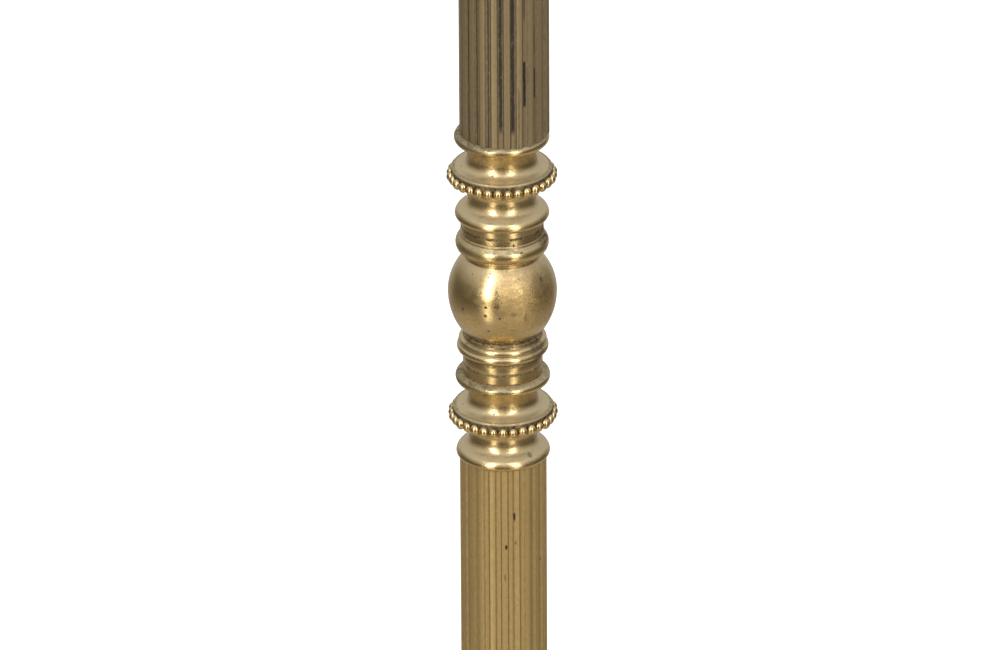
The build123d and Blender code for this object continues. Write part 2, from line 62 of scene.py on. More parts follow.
# ---------------------------------------------------------------- shader tools
class Link:
    """One output socket of a node tree, with arithmetic that adds Math nodes."""

    def __init__(self, recipe: "Recipe", socket: bpy.types.NodeSocket) -> None:
        """Wrap a socket of a recipe's tree."""
        self.recipe = recipe
        self.socket = socket

    def _math(self, operation: str, *values: "Link | float") -> "Link":
        """Add one Math node.

        Args:
            operation: the Math node's operation.
            values: links or numbers for its inputs.

        Returns:
            The node's result.
        """
        return self.recipe.node("ShaderNodeMath", {"operation": operation}, dict(enumerate(values)))

    def __add__(self, other: "Link | float") -> "Link":
        """Sum."""
        return self._math("ADD", self, other)

    __radd__ = __add__

    def __sub__(self, other: "Link | float") -> "Link":
        """Difference."""
        return self._math("SUBTRACT", self, other)

    def __rsub__(self, other: float) -> "Link":
        """Difference from a number."""
        return self._math("SUBTRACT", other, self)

    def __mul__(self, other: "Link | float") -> "Link":
        """Product."""
        return self._math("MULTIPLY", self, other)

    __rmul__ = __mul__

    def __pow__(self, other: float) -> "Link":
        """Power."""
        return self._math("POWER", self, other)

    def __abs__(self) -> "Link":
        """Size without sign."""
        return self._math("ABSOLUTE", self)

    def least(self, other: "Link | float") -> "Link":
        """The smaller of the two."""
        return self._math("MINIMUM", self, other)

    def most(self, other: "Link | float") -> "Link":
        """The larger of the two."""
        return self._math("MAXIMUM", self, other)

    def angle_from(self, other: "Link") -> "Link":
        """Angle of the point (other, self), in radians."""
        return self._math("ARCTAN2", self, other)

    def wrapped(self, low: float, high: float) -> "Link":
        """The value brought between two limits by whole steps."""
        return self._math("WRAP", self, high, low)

    def ramp(self, low: float, high: float) -> "Link":
        """Smooth 0 at low to 1 at high; low may be the larger."""
        settings = {"interpolation_type": "SMOOTHSTEP"}
        if low <= high:
            return self.recipe.node("ShaderNodeMapRange", settings, {"Value": self, 1: low, 2: high})
        rising = self.recipe.node("ShaderNodeMapRange", settings, {"Value": self, 1: high, 2: low})
        return 1.0 - rising

    def band(self, low: float, high: float, soft: float) -> "Link":
        """1 between two values and 0 outside them, over a soft edge."""
        return self.ramp(low - soft, low) * self.ramp(high + soft, high)


class Recipe:
    """A material's node tree while it is being written."""

    def __init__(self, tree: bpy.types.NodeTree) -> None:
        """Start on an emptied tree."""
        self.tree = tree
        tree.nodes.clear()

    def node(self, kind: str, settings: dict | None = None, inputs: dict | None = None,
             output: int | str = 0) -> Link:
        """Add one node.

        Args:
            kind: the node's type name.
            settings: its properties, set first; "stops" fills a colour ramp.
            inputs: socket name or index to a link, number, colour or vector.
            output: name or index of the socket that is returned.

        Returns:
            That output socket.
        """
        made = self.tree.nodes.new(kind)
        for key, value in (settings or {}).items():
            if key == "stops":
                self._fill_ramp(made.color_ramp, value)
            else:
                setattr(made, key, value)
        for key, value in (inputs or {}).items():
            socket = made.inputs[key]
            if isinstance(value, Link):
                self.tree.links.new(value.socket, socket)
            else:
                socket.default_value = value
        return Link(self, made.outputs[output])

    @staticmethod
    def _fill_ramp(ramp: bpy.types.ColorRamp, stops: list[tuple[float, float]]) -> None:
        """Set a ramp of greys."""
        while len(ramp.elements) < len(stops):
            ramp.elements.new(0.5)
        for element, (place, grey) in zip(ramp.elements, stops):
            element.position = place
            element.color = (grey, grey, grey, 1)

    def mix(self, factor: Link | float, first: "Link | Colour", second: "Link | Colour") -> Link:
        """Blend two colours."""
        inputs = {0: factor, 6: self._paint(first), 7: self._paint(second)}
        return self.node("ShaderNodeMix", {"data_type": "RGBA"}, inputs, 2)

    @staticmethod
    def _paint(colour: "Link | Colour") -> "Link | tuple[float, ...]":
        """A colour with its alpha, or a link as it is."""
        return colour if isinstance(colour, Link) else (*colour, 1.0)


class Surface(Recipe):
    """A recipe for a solid surface, with its measures in millimetres and degrees."""

    def __init__(self, name: str, axis_x: float = 0.0, axis_z: float = 0.0) -> None:
        """Make a named material.

        Args:
            name: the material's name.
            axis_x: place of the turning axis along X.
            axis_z: height that heights are counted from.
        """
        self.material = bpy.data.materials.new(name)
        self.material.use_nodes = True
        super().__init__(self.material.node_tree)
        own = self.node("ShaderNodeTexCoord", None, None, "Object")
        centred = {"Vector": own, "Location": (-axis_x, 0, -axis_z)}
        self.place = self.node("ShaderNodeMapping", None, centred)
        split = {"Vector": self.place}
        self.x = self.node("ShaderNodeSeparateXYZ", None, split, 0) * (1 / MM)
        self.y = self.node("ShaderNodeSeparateXYZ", None, split, 1) * (1 / MM)
        self.z = self.node("ShaderNodeSeparateXYZ", None, split, 2) * (1 / MM)
        self.turn = self.x.angle_from(self.y * -1.0) * math.degrees(1.0)

    def facing_up(self) -> Link:
        """How far the surface looks upwards, from -1 to 1."""
        normal = self.node("ShaderNodeTexCoord", None, None, "Normal")
        return self.node("ShaderNodeSeparateXYZ", None, {"Vector": normal}, 2)

    def noise(self, grain: float, detail: float = 3.0, rough: float = 0.55,
              stretch: tuple[float, float, float] = (1, 1, 1), shift: float = 0.0) -> Link:
        """Noise of 0 to 1 in a grain given in millimetres.

        Args:
            grain: size of one blotch.
            detail: octaves.
            rough: weight of the finer octaves.
            stretch: how much longer a blotch is along each axis.
            shift: moves the pattern, so that two layers differ.

        Returns:
            The noise value.
        """
        size = tuple(1 / s for s in stretch)
        moved = {"Vector": self.place, "Location": (shift,) * 3, "Scale": size}
        spread = self.node("ShaderNodeMapping", None, moved)
        inputs = {"Vector": spread, "Scale": 1 / (grain * MM), "Detail": detail, "Roughness": rough}
        return self.node("ShaderNodeTexNoise", None, inputs, 0)

    def turned_lines(self, pitch: float) -> Link:
        """Fine lines round the turning axis, as a lathe tool and a polishing mop leave them."""
        return self.noise(pitch, 4.0, 0.7, (400, 400, 1))

    def drawn_lines(self, pitch: float, shift: float = 0.0) -> Link:
        """Fine lines along the turning axis, as a drawing die leaves them."""
        return self.noise(pitch, 4.0, 0.65, (1, 1, 260), shift)

    def pits(self, spacing: float, size: float, share: float, shift: float = 0.0) -> Link:
        """Small round casting pits.

        Args:
            spacing: mean distance between the places where one may be.
            size: radius of a pit.
            share: share of the surface's patches that have any.
            shift: moves the pattern.

        Returns:
            1 in a pit, 0 outside.
        """
        moved = self.node("ShaderNodeMapping", None, {"Vector": self.place, "Location": (shift,) * 3})
        cells = self.node("ShaderNodeTexVoronoi", None, {"Vector": moved, "Scale": 1 / (spacing * MM)}, 0)
        dots = cells.ramp(size / spacing * 1.25, size / spacing * 0.55)
        patches = self.noise(spacing * 5, 2.0, 0.5, shift=shift + 3)
        return dots * patches.ramp(0.66 - share * 0.4, 0.72 - share * 0.4)

    def spot(self, turn: float, height: float, radius: float, wide: float, tall: float) -> Link:
        """A ragged round mark on a turned surface.

        Args:
            turn: its direction, in degrees right of the front.
            height: its height.
            radius: radius of the surface there.
            wide: half its width.
            tall: half its height.

        Returns:
            1 in the middle of the mark, 0 outside it.
        """
        across = (self.turn - turn) * (math.radians(1) * radius / wide)
        along = (self.z - height) * (1 / tall)
        ragged = self.noise(0.8, 3.0, 0.6, shift=turn * 0.01) * 1.1
        return (across ** 2.0 + along ** 2.0 + ragged).ramp(1.75, 0.75)

    def dress(self, colour: Link, rough: Link, metal: Link | float, relief: Link,
              depth: float) -> bpy.types.Material:
        """Close the recipe on its shader.

        Args:
            colour: base colour.
            rough: roughness.
            metal: metallic share.
            relief: height of the surface's relief, 0 to 1.
            depth: depth of the relief in millimetres.

        Returns:
            The finished material.
        """
        bump = self.node("ShaderNodeBump", None, {"Strength": 1.0, "Distance": depth * MM, "Height": relief})
        inputs = {"Base Color": colour, "Roughness": rough, "Metallic": metal, "Normal": bump}
        shader = self.node("ShaderNodeBsdfPrincipled", None, inputs)
        self.node_output(shader)
        return self.material

    def node_output(self, shader: Link) -> None:
        """Send the shader to the material's output."""
        output = self.tree.nodes.new("ShaderNodeOutputMaterial")
        self.tree.links.new(shader.socket, output.inputs["Surface"])


# ---------------------------------------------------------------- finishes
@dataclass(frozen=True)
class GrimeAndShadeBand:
    """A band between two heights: old polish and dirt in a hollow, and in some places painted shade and
    painted dark reflection.
    """

    low: float
    high: float
    amount: float
    soft: float = 0.6
    from_turn: float = -180.0
    to_turn: float = 180.0
    pale: bool = False


@dataclass(frozen=True)
class Mark:
    """One dark pit, stain or painted dark reflection on a turned surface, by its direction and height."""

    turn: float
    height: float
    radius: float
    wide: float
    tall: float
    amount: float = 1.0


@dataclass(frozen=True)
class CastBrass:
    """Turned and polished yellow brass casting, with grime in its hollows, painted shade in some recesses,
    and a paler tint on up-facing faces that is partly haze and partly a painted reflection of the ceiling.
    """

    name: str
    metal: Colour = (0.79, 0.555, 0.235)
    brown: Colour = (0.46, 0.285, 0.105)
    haze_and_sky_sheen: Colour = (0.73, 0.615, 0.39)
    dusty: Colour = (0.59, 0.505, 0.32)
    grime: Colour = (0.042, 0.033, 0.023)
    polish: Colour = (0.27, 0.235, 0.155)
    rough: float = 0.225
    pit_share: float = 0.35
    bands: tuple[GrimeAndShadeBand, ...] = ()
    marks: tuple[Mark, ...] = ()
    inner: GrimeAndShadeBand | None = None
    inner_r: float = 0.0
    dull_side: float = 0.0

    def _laid(self, s: Surface, smear: Link, pale: bool) -> Link:
        """Grime and painted shade of one kind in all its bands, 0 to 1."""
        total = s.pits(2.3, 0.20, self.pit_share) * 0.9 if not pale else smear * 0.0
        for band in self.bands:
            if band.pale is not pale:
                continue
            part = s.z.band(band.low, band.high, band.soft)
            if band.from_turn > -180.0 or band.to_turn < 180.0:
                part = part * s.turn.band(band.from_turn, band.to_turn, 9.0)
            total = total.most(part * (smear * 0.75 + 0.30) * band.amount)
        return total

    def make(self, axis_x: float = 0.0, axis_z: float = 0.0) -> bpy.types.Material:
        """Write the material.

        Args:
            axis_x: place of the turning axis along X.
            axis_z: height that the bands and marks are counted from.

        Returns:
            The material.
        """
        s = Surface(self.name, axis_x, axis_z)
        broad = s.noise(15.0, 3.0, 0.5)
        mottle = s.noise(2.4, 6.0, 0.72, shift=1.7).ramp(0.30, 0.70)
        fine = s.noise(0.5, 3.0, 0.7, shift=4.1).ramp(0.25, 0.75)
        lines = s.turned_lines(0.42).ramp(0.30, 0.70)
        colour = s.mix(broad.ramp(0.40, 0.66) * 0.34, self.metal, self.brown)
        colour = s.mix((mottle ** 2.0) * 0.30 + (fine ** 2.0) * 0.16 + lines * 0.10, colour, self.brown)
        up = s.facing_up()
        # Up-facing faces are tinted paler: partly light haze, partly a painted reflection of the bright
        # ceiling.
        colour = s.mix(up.ramp(0.12, 0.75) * (0.34 + mottle * 0.44), colour, self.haze_and_sky_sheen)
        dusty = up.ramp(0.50, 0.93) * (0.50 + mottle * 0.32)
        colour = s.mix(dusty, colour, self.dusty)
        smear = (mottle * 0.8 + fine * 0.5).ramp(0.20, 1.05)
        dirt = self._laid(s, smear, False).most(s.pits(5.5, 0.42, self.pit_share * 0.8, 2.3))
        pale = self._laid(s, smear, True)
        if self.inner is not None:
            reach = (s.x ** 2.0 + s.y ** 2.0) ** 0.5
            hollow = reach.ramp(self.inner_r + 0.45, self.inner_r - 0.25)
            between = hollow * s.z.band(self.inner.low, self.inner.high, self.inner.soft)
            dirt = dirt.most(between * (0.55 + smear * 0.5) * self.inner.amount)
        for mark in self.marks:
            dirt = dirt.most(s.spot(mark.turn, mark.height, mark.radius, mark.wide, mark.tall) * mark.amount)
        dirt = dirt.least(1.0)
        pale = pale.least(1.0)
        rough = mottle * 0.11 + lines * 0.07 + fine * 0.07 + (self.rough - 0.10) + dirt * 0.32 + pale * 0.42
        rough = rough + dusty * 0.26
        relief = 0.5 + mottle * 0.16 + fine * 0.16 + lines * 0.10 - dirt * 0.35 + pale * 0.15
        if self.dull_side:
            flecks = s.noise(0.75, 4.0, 0.8, shift=8.8).ramp(0.36, 0.62)
            worn = s.turn.band(0.0, 64.0, 8.0) * s.z.band(-10.0, 17.0, 5.0) * (0.35 + mottle * 0.65)
            rough = rough + worn * flecks * self.dull_side
            relief = relief + worn * flecks * 1.5
            colour = s.mix(worn * (1.0 - flecks) * 0.9, colour, self.brown)
        colour = s.mix(pale * 0.9, colour, self.polish)
        # dirt carries pits and grime, and also the painted shade and painted dark reflections of the bands
        # and marks.
        colour = s.mix(dirt * 0.94, colour, self.grime)
        metal = 1.0 - (dusty * 0.45).most(pale * 0.60) - dirt * 0.08
        return s.dress(colour, rough, metal, relief, 0.04)


@dataclass(frozen=True)
class FlutedBrass:
    """Drawn fluted brass tube with flute edges darkened by grime and painted shade, and old grime in some
    flutes.
    """

    name: str
    metal: Colour
    streak: Colour
    edge: Colour
    black: Colour
    first_flute: float
    edge_dark: float
    floor_dark: float
    left_darkening: float
    shine: float
    rough: float = 0.50
    flutes: int = 22
    black_flutes: tuple[GrimeAndShadeBand, ...] = ()
    marks: tuple[Mark, ...] = ()

    def make(self, axis_x: float, axis_z: float) -> bpy.types.Material:
        """Write the material for a tube on an axis, with heights counted from axis_z."""
        s = Surface(self.name, axis_x, axis_z)
        pitch = 360.0 / self.flutes
        off = abs((s.turn - self.first_flute).wrapped(-pitch / 2, pitch / 2))
        wander = (s.noise(9.0, 3.0, 0.6, (1, 1, 5)) - 0.5) * 0.9
        edge = (off + wander * 0.6).band(3.0, 4.25, 0.75)
        in_flute = (off + wander).ramp(4.3, 3.7)
        lines = s.drawn_lines(0.85).ramp(0.30, 0.70)
        hair = s.drawn_lines(0.33, 1.9).ramp(0.30, 0.70)
        broad_lines = s.drawn_lines(2.6, 3.3).ramp(0.34, 0.66)
        mottle = s.noise(1.5, 6.0, 0.75, (1, 1, 2.2), 2.2).ramp(0.30, 0.70)
        fine = s.noise(0.5, 3.0, 0.7, shift=5.0).ramp(0.25, 0.75)
        patchy = s.noise(18.0, 3.0, 0.55, (1, 1, 3), 6.1).ramp(0.38, 0.66)
        streaks = (lines * 0.32 + hair * 0.22 + broad_lines * 0.26 + mottle * 0.30 + fine * 0.20
                   + patchy * 0.12)
        colour = s.mix((streaks - 0.22).least(1.0).most(0.0), self.metal, self.streak)
        # Darker towards the left side of the tube.
        left = s.turn.ramp(2.0, -52.0) * self.left_darkening
        colour = s.mix(left * (0.6 + mottle * 0.6), colour, self.edge)
        colour = s.mix(in_flute * self.floor_dark, colour, self.edge)
        # The flute edges are darkened: partly grime in the corners, partly painted shade and painted dark
        # reflection of the flute walls.
        colour = s.mix((edge * self.edge_dark * (0.55 + mottle * 0.5)).least(1.0), colour, self.edge)
        dirt = s.pits(3.1, 0.24, 0.25)
        for band in self.black_flutes:
            middle = (band.from_turn + band.to_turn) / 2
            width = (band.to_turn - band.from_turn) / 2
            ragged = (s.noise(1.1, 4.0, 0.75, (1, 1, 3.5), 9.9) - 0.5) * 2.6
            near = abs(s.turn - middle + wander * 0.8 + ragged).ramp(width + 0.5, width - 0.6)
            worn = (mottle * 0.5 + s.noise(7.0, 4.0, 0.7, (1, 1, 3), 9.0)).ramp(0.30, 0.66)
            length = s.z.band(band.low, band.high, band.soft)
            dirt = dirt.most(near * length * (0.25 + worn * 0.75) * band.amount)
        for mark in self.marks:
            dirt = dirt.most(s.spot(mark.turn, mark.height, mark.radius, mark.wide, mark.tall) * mark.amount)
        colour = s.mix((dirt * 0.95).least(1.0), colour, self.black)
        rough = lines * 0.10 + mottle * 0.12 + (self.rough - 0.11) + dirt * 0.25 + edge * 0.08
        relief = 0.4 + lines * 0.20 + hair * 0.10 + mottle * 0.18 + fine * 0.14 - dirt * 0.2
        return s.dress(colour, rough, self.shine - dirt * 0.1, relief, 0.03)


class Grain(Enum):
    """The way that polishing marks run on a piece: how much longer they are along each axis."""

    TURNED = (400, 400, 1)
    ALONG_X = (90, 1, 1)
    UPRIGHT = (1, 1, 160)


@dataclass(frozen=True)
class PolishedBrass:
    """Wrought or turned brass with a soft polish, fine scratches and light tarnish."""

    name: str
    grain: Grain = Grain.TURNED
    metal: Colour = (0.77, 0.54, 0.23)
    brown: Colour = (0.45, 0.285, 0.11)
    grime: Colour = (0.10, 0.08, 0.05)
    rough: float = 0.27

    def make(self, axis_x: float = 0.0, axis_z: float = 0.0) -> bpy.types.Material:
        """Write the material, with turned marks round an upright axis at axis_x."""
        s = Surface(self.name, axis_x, axis_z)
        lines = s.noise(0.5, 4.0, 0.7, self.grain.value)
        broad = s.noise(32.0, 4.0, 0.55)
        mottle = s.noise(3.2, 5.0, 0.66, shift=1.1)
        fine = s.noise(0.6, 3.0, 0.6, shift=6.6)
        smudge = s.noise(11.0, 5.0, 0.7, (1.6, 1.1, 1), 3.3)
        scratch = s.noise(0.35, 2.0, 0.5, (46, 3, 22), 7.7).ramp(0.69, 0.74)
        colour = s.mix(broad.ramp(0.40, 0.72) * 0.34, self.metal, self.brown)
        colour = s.mix(mottle.ramp(0.50, 0.76) * 0.26 + lines.ramp(0.5, 0.8) * 0.18, colour, self.brown)
        colour = s.mix(smudge.ramp(0.56, 0.74) * 0.22, colour, self.grime)
        dirt = s.pits(4.6, 0.26, 0.22)
        colour = s.mix(dirt * 0.85, colour, self.grime)
        rough = (smudge.ramp(0.40, 0.75) * 0.15 + lines * 0.10 + mottle * 0.08 + (self.rough - 0.10)
                 + dirt * 0.3 + scratch * 0.12)
        relief = 0.5 + lines * 0.16 + mottle * 0.14 + fine * 0.10 - scratch * 0.18 - dirt * 0.35
        return s.dress(colour, rough, 1.0 - dirt * 0.1, relief, 0.03)


@dataclass(frozen=True)
class Steel:
    """Plain turned steel with grey oxide and a little rust."""

    name: str
    metal: Colour = (0.46, 0.45, 0.43)
    oxide: Colour = (0.20, 0.17, 0.15)
    rust: Colour = (0.22, 0.09, 0.04)

    def make(self) -> bpy.types.Material:
        """Write the material."""
        s = Surface(self.name)
        mottle = s.noise(1.8, 5.0, 0.7)
        patch = s.noise(7.0, 4.0, 0.6, shift=2.0)
        lines = s.turned_lines(0.4)
        rusty = patch.ramp(0.58, 0.72) * mottle.ramp(0.4, 0.7)
        colour = s.mix(mottle.ramp(0.45, 0.7) * 0.6, self.metal, self.oxide)
        colour = s.mix(rusty * 0.8, colour, self.rust)
        rough = 0.3 + mottle * 0.2 + rusty * 0.3
        relief = mottle * 0.5 + lines * 0.4
        return s.dress(colour, rough, 1.0 - rusty * 0.8, relief, 0.03)


@dataclass(frozen=True)
class CastIron:
    """Rough iron casting under old black paint."""

    name: str
    paint: Colour = (0.022, 0.021, 0.020)
    dusty: Colour = (0.06, 0.055, 0.05)
    chip: Colour = (0.16, 0.10, 0.07)

    def make(self) -> bpy.types.Material:
        """Write the material."""
        s = Surface(self.name)
        sand = s.noise(1.2, 5.0, 0.75)
        lumps = s.noise(9.0, 4.0, 0.6, shift=2.0)
        chipped = s.noise(6.0, 5.0, 0.7, shift=5.0).ramp(0.64, 0.68)
        colour = s.mix(sand * 0.5, self.paint, self.dusty)
        colour = s.mix(chipped, colour, self.chip)
        relief = sand * 0.6 + lumps * 0.5 - chipped * 0.2
        return s.dress(colour, 0.42 + sand * 0.3, chipped * 0.2, relief, 0.3)


# ---------------------------------------------------------------- modelling tools
class Profile:
    """A turned section drawn as (radius, height) points in millimetres."""

    def __init__(self, radius: float, height: float) -> None:
        """Start at a point."""
        self.points: list[Point] = [(radius, height)]

    def line(self, *points: Point) -> "Profile":
        """Go straight to each point in turn."""
        self.points.extend(points)
        return self

    def bow(self, mid: Point, end: Point, steps: int) -> "Profile":
        """Go along a round stretch through mid to end, in so many steps."""
        start = self.points[-1]
        centre, radius = self._circle(start, mid, end)
        first = math.atan2(start[1] - centre[1], start[0] - centre[0])
        through = math.atan2(mid[1] - centre[1], mid[0] - centre[0])
        last = math.atan2(end[1] - centre[1], end[0] - centre[0])
        sweep = (last - first) % math.tau
        if (through - first) % math.tau > sweep:
            sweep -= math.tau
        for k in range(1, steps + 1):
            angle = first + sweep * k / steps
            self.points.append((centre[0] + radius * math.cos(angle), centre[1] + radius * math.sin(angle)))
        return self

    @staticmethod
    def _circle(a: Point, b: Point, c: Point) -> tuple[Point, float]:
        """Centre and radius of the circle through three points."""
        d = 2 * (a[0] * (b[1] - c[1]) + b[0] * (c[1] - a[1]) + c[0] * (a[1] - b[1]))
        aa, bb, cc = (p[0] ** 2 + p[1] ** 2 for p in (a, b, c))
        x = (aa * (b[1] - c[1]) + bb * (c[1] - a[1]) + cc * (a[1] - b[1])) / d
        y = (aa * (c[0] - b[0]) + bb * (a[0] - c[0]) + cc * (b[0] - a[0])) / d
        return (x, y), math.hypot(a[0] - x, a[1] - y)

    def oval(self, flat: float, tall: float, centre: float, first: float, last: float,
             steps: int) -> "Profile":
        """Follow an upright ellipse on the axis between two angles, in degrees."""
        for k in range(1, steps + 1):
            angle = math.radians(first + (last - first) * k / steps)
            self.points.append((flat * math.cos(angle), centre + tall * math.sin(angle)))
        return self


class Bench:
    """Blender's modelling tools, used as by hand."""

    SMOOTH = math.radians(32)
    CORNER = math.radians(34)
    WELD = 2e-6

    @staticmethod
    def clear() -> None:
        """Leave edit mode and deselect everything."""
        if bpy.context.object and bpy.context.object.mode != "OBJECT":
            bpy.ops.object.mode_set(mode="OBJECT")
        bpy.ops.object.select_all(action="DESELECT")

    @classmethod
    def chain(cls, name: str, corners: list[Vector]) -> bpy.types.Object:
        """Extrude one vertex along a list of places.

        Args:
            name: name of the new object.
            corners: the places, in metres.

        Returns:
            The object, left in edit mode with everything selected.
        """
        cls.clear()
        bpy.ops.mesh.primitive_plane_add(size=MM, location=(0, 0, 0))
        piece = bpy.context.object
        piece.name = piece.data.name = name
        bpy.ops.object.mode_set(mode="EDIT")
        bpy.ops.mesh.select_mode(type="VERT")
        bpy.ops.mesh.select_all(action="SELECT")
        bpy.ops.mesh.merge(type="CENTER")
        bpy.ops.transform.translate(value=corners[0])
        for here, there in zip(corners, corners[1:]):
            bpy.ops.mesh.extrude_vertices_move(TRANSFORM_OT_translate={"value": there - here})
        bpy.ops.mesh.select_all(action="SELECT")
        return piece

    @classmethod
    def turned(cls, name: str, profile: Profile, axis: Vector, steps: int = 144,
               bevel: float = 0.0) -> bpy.types.Object:
        """Spin a closed section about an upright axis.

        Args:
            name: name of the new object.
            profile: the section; its last point joins its first.
            axis: a point on the axis, from which heights are counted.
            steps: faces round the piece.
            bevel: width of the softened corners in millimetres.

        Returns:
            The piece, in object mode.
        """
        points = profile.points + profile.points[:1]
        corners = [Vector((axis.x + r * MM, 0, axis.z + z * MM)) for r, z in points]
        piece = cls.chain(name, corners)
        bpy.ops.mesh.spin(steps=steps, angle=math.tau, center=(axis.x, 0, 0), axis=(0, 0, 1))
        cls.close_seams()
        if bevel:
            cls.soften(piece, bevel)
        cls.smooth(piece)
        return piece

    @staticmethod
    def close_seams() -> None:
        """Merge doubles, turn the faces outwards and leave edit mode."""
        bpy.ops.mesh.select_all(action="SELECT")
        bpy.ops.mesh.remove_doubles(threshold=Bench.WELD)
        bpy.ops.mesh.dissolve_degenerate(threshold=1e-7)
        bpy.ops.mesh.select_all(action="SELECT")
        bpy.ops.mesh.normals_make_consistent(inside=False)
        bpy.ops.object.mode_set(mode="OBJECT")

    @classmethod
    def soften(cls, piece: bpy.types.Object, width: float) -> None:
        """Round a piece's sharp corners with an applied bevel, its width in millimetres."""
        bevel = piece.modifiers.new("soft corners", "BEVEL")
        bevel.width = width * MM
        bevel.segments = 2
        bevel.limit_method = "ANGLE"
        bevel.angle_limit = cls.CORNER
        bevel.use_clamp_overlap = True
        bpy.ops.object.modifier_apply(modifier=bevel.name)

    @classmethod
    def smooth(cls, piece: bpy.types.Object) -> None:
        """Shade a piece smooth except at its corners."""
        cls.clear()
        piece.select_set(True)
        bpy.context.view_layer.objects.active = piece
        bpy.ops.object.shade_smooth_by_angle(angle=cls.SMOOTH)

    @classmethod
    def bead_row(cls, name: str, bead: float, circle: float, count: int, axis: Vector, turn: float,
                 wobble: float, seed: int, tall: float = 1.0) -> bpy.types.Object:
        """Model one bead and copy it round an upright axis.

        Args:
            name: name of the new object.
            bead: radius of a bead in millimetres.
            circle: radius of the row in millimetres.
            count: beads in the row.
            axis: a point on the axis, at the row's height.
            turn: degrees from the front to the first bead, to the right.
            wobble: how far the hand-cut beads stray, in millimetres.
            seed: seed of the straying.
            tall: height of a bead against its width.

        Returns:
            The row, in object mode.
        """
        cls.clear()
        angle = math.radians(turn - 90)
        start = (axis.x + circle * MM * math.cos(angle), circle * MM * math.sin(angle), axis.z)
        bpy.ops.mesh.primitive_uv_sphere_add(segments=14, ring_count=8, radius=bead * MM, location=start)
        row = bpy.context.object
        row.name = row.data.name = name
        bpy.ops.object.transform_apply(location=True, rotation=False, scale=False)
        bpy.ops.object.mode_set(mode="EDIT")
        bpy.ops.mesh.select_all(action="SELECT")
        bpy.ops.mesh.spin(steps=count - 1, angle=math.tau * (count - 1) / count, dupli=True,
                          center=(axis.x, 0, 0), axis=(0, 0, 1))
        bpy.ops.object.mode_set(mode="OBJECT")
        cls._stray(row, axis, circle, count, turn, wobble, seed, tall)
        return row

    @staticmethod
    def _stray(row: bpy.types.Object, axis: Vector, circle: float, count: int, turn: float,
               wobble: float, seed: int, tall: float) -> None:
        """Move and size each bead of a row a little, as hand work does."""
        rng = random.Random(seed)
        moves = [(rng.uniform(-1, 1), rng.uniform(-1, 1), rng.uniform(-1, 1)) for _ in range(count)]
        for vertex in row.data.vertices:
            around = math.degrees(math.atan2(vertex.co.x - axis.x, -vertex.co.y)) - turn
            index = round(around * count / 360) % count
            angle = math.radians(turn - 90 + 360 * index / count)
            middle = Vector((axis.x + circle * MM * math.cos(angle), circle * MM * math.sin(angle), axis.z))
            out, up, size = moves[index]
            arm = (vertex.co - middle) * (1 + size * wobble * 0.35)
            arm.z *= tall
            outward = Vector((math.cos(angle), math.sin(angle), 0))
            lift = Vector((0, 0, up * wobble * MM * 0.6))
            vertex.co = middle + arm + outward * out * wobble * MM * 0.5 + lift

    @classmethod
    def joined(cls, body: bpy.types.Object, *others: bpy.types.Object) -> bpy.types.Object:
        """Join pieces into the first one."""
        cls.clear()
        for piece in (*others, body):
            piece.select_set(True)
        bpy.context.view_layer.objects.active = body
        bpy.ops.object.join()
        cls.smooth(body)
        return body


class Assembly:
    """What every sub-assembly does with a finished piece."""

    body = "column"

    def place(self, piece: bpy.types.Object, material: bpy.types.Material, slot: str, *nodes: str) -> None:
        """Dress a piece and hand it to the frame.

        Args:
            piece: the finished piece.
            material: its material.
            slot: not used.
            nodes: CAD nodes that it stands for.
        """
        piece.data.materials.clear()
        piece.data.materials.append(material)
        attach(piece, self.body)
        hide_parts(*nodes)
        LOG.info("%s: %d faces, stands for %s", piece.name, len(piece.data.polygons), ", ".join(nodes))

    @staticmethod
    def dress(material: bpy.types.Material, *nodes: str) -> None:
        """Give CAD nodes a material in place of their plain one."""
        for node in nodes:
            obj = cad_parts[node]
            if not obj.material_slots:
                obj.data.materials.append(material)
            for held in obj.material_slots:
                held.link = "OBJECT"
                held.material = material
            LOG.info("%s: dressed in %s", node, material.name)


# ---------------------------------------------------------------- column
def knop_middle() -> float:
    """Height of the middle of the knop's ball, which the column's marks are counted from."""
    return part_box("ball_knop")[0].z - KNOP_FOOT * MM


